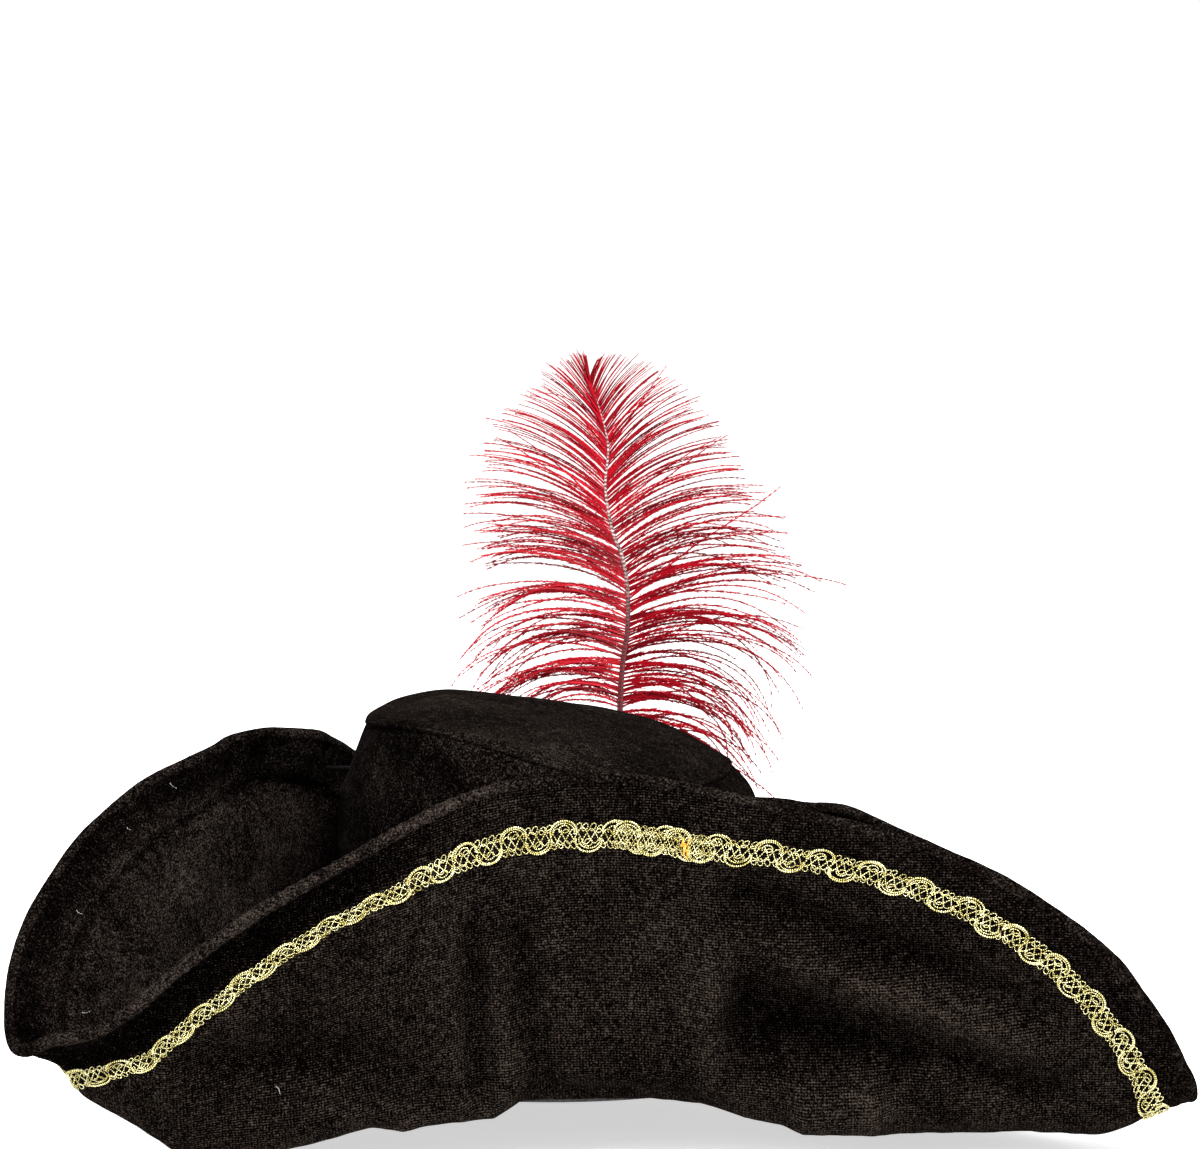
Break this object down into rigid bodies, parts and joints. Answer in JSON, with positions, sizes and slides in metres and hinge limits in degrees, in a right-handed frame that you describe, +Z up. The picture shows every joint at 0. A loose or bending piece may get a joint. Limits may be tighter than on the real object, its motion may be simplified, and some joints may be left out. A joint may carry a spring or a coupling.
{
  "type": "tricorn hat",
  "caption": "Black velvet tricorn hat: brim turned up in flaps with a rolled edge and gold gimp braid, soft sloping crown, red ostrich plume that sways behind it.",
  "frame": {"origin": "centre of the head opening, in the plane of the headline seam", "axes": "+Z up through the crown, +X towards the corner that reaches furthest, -Y towards the broad front flap"},
  "size_m": [0.4224, 0.3839, 0.2699],
  "materials": {
    "velvet_pile": "crushed velvet with a short pile, warm black",
    "velvet_knit": "velvet with fine knit rows showing, warm black",
    "velvet_edge": "folded velvet edge, pile worn to a soft sheen",
    "foam": "soft open-cell foam interlining",
    "lining": "plain woven black lining",
    "sweatband": "grosgrain ribbon with fine cross ribs",
    "gold_gimp": "pale gold metallic wire cord, polished strands",
    "gold_thread": "orange-gold sewing thread",
    "black_thread": "black sewing thread",
    "label": "plain woven tape, blank",
    "quill": "keratin shaft, pale with dark flecks, dyed red",
    "plume": "dyed crimson ostrich barbs",
    "felt": "black felt tab"
  },
  "bodies": {
    "hat": {"crown_side": "velvet_pile", "crown_tip": "velvet_pile", "crown_seam": "velvet_edge", "crown_stiffener": "foam", "crown_lining": "lining", "sweatband": "sweatband", "headline_tape": "sweatband", "care_label": "label", "brim_under_cover": "velvet_knit", "brim_stiffener": "foam", "brim_top_cover": "velvet_pile", "brim_edge_roll": "velvet_edge", "gold_braid": "gold_gimp", "braid_lap": "gold_gimp", "braid_stitching": "black_thread", "braid_end_tack": "gold_thread", "flap_tack_left": "black_thread", "flap_tack_right": "black_thread", "quill_loop": "felt"},
    "plume": {"plume_quill": "quill", "plume_vane_left": "plume", "plume_vane_right": "plume", "quill_binding": "black_thread"}
  },
  "joints": [
    {"name": "plume_sway", "type": "hinge", "parent": "hat", "child": "plume", "pos_m": [0.024, 0.099, 0.064], "axis": [0, 1, 0], "range_deg": [-12, 12], "stiffness_Nm_per_rad": 0.2}
  ]
}
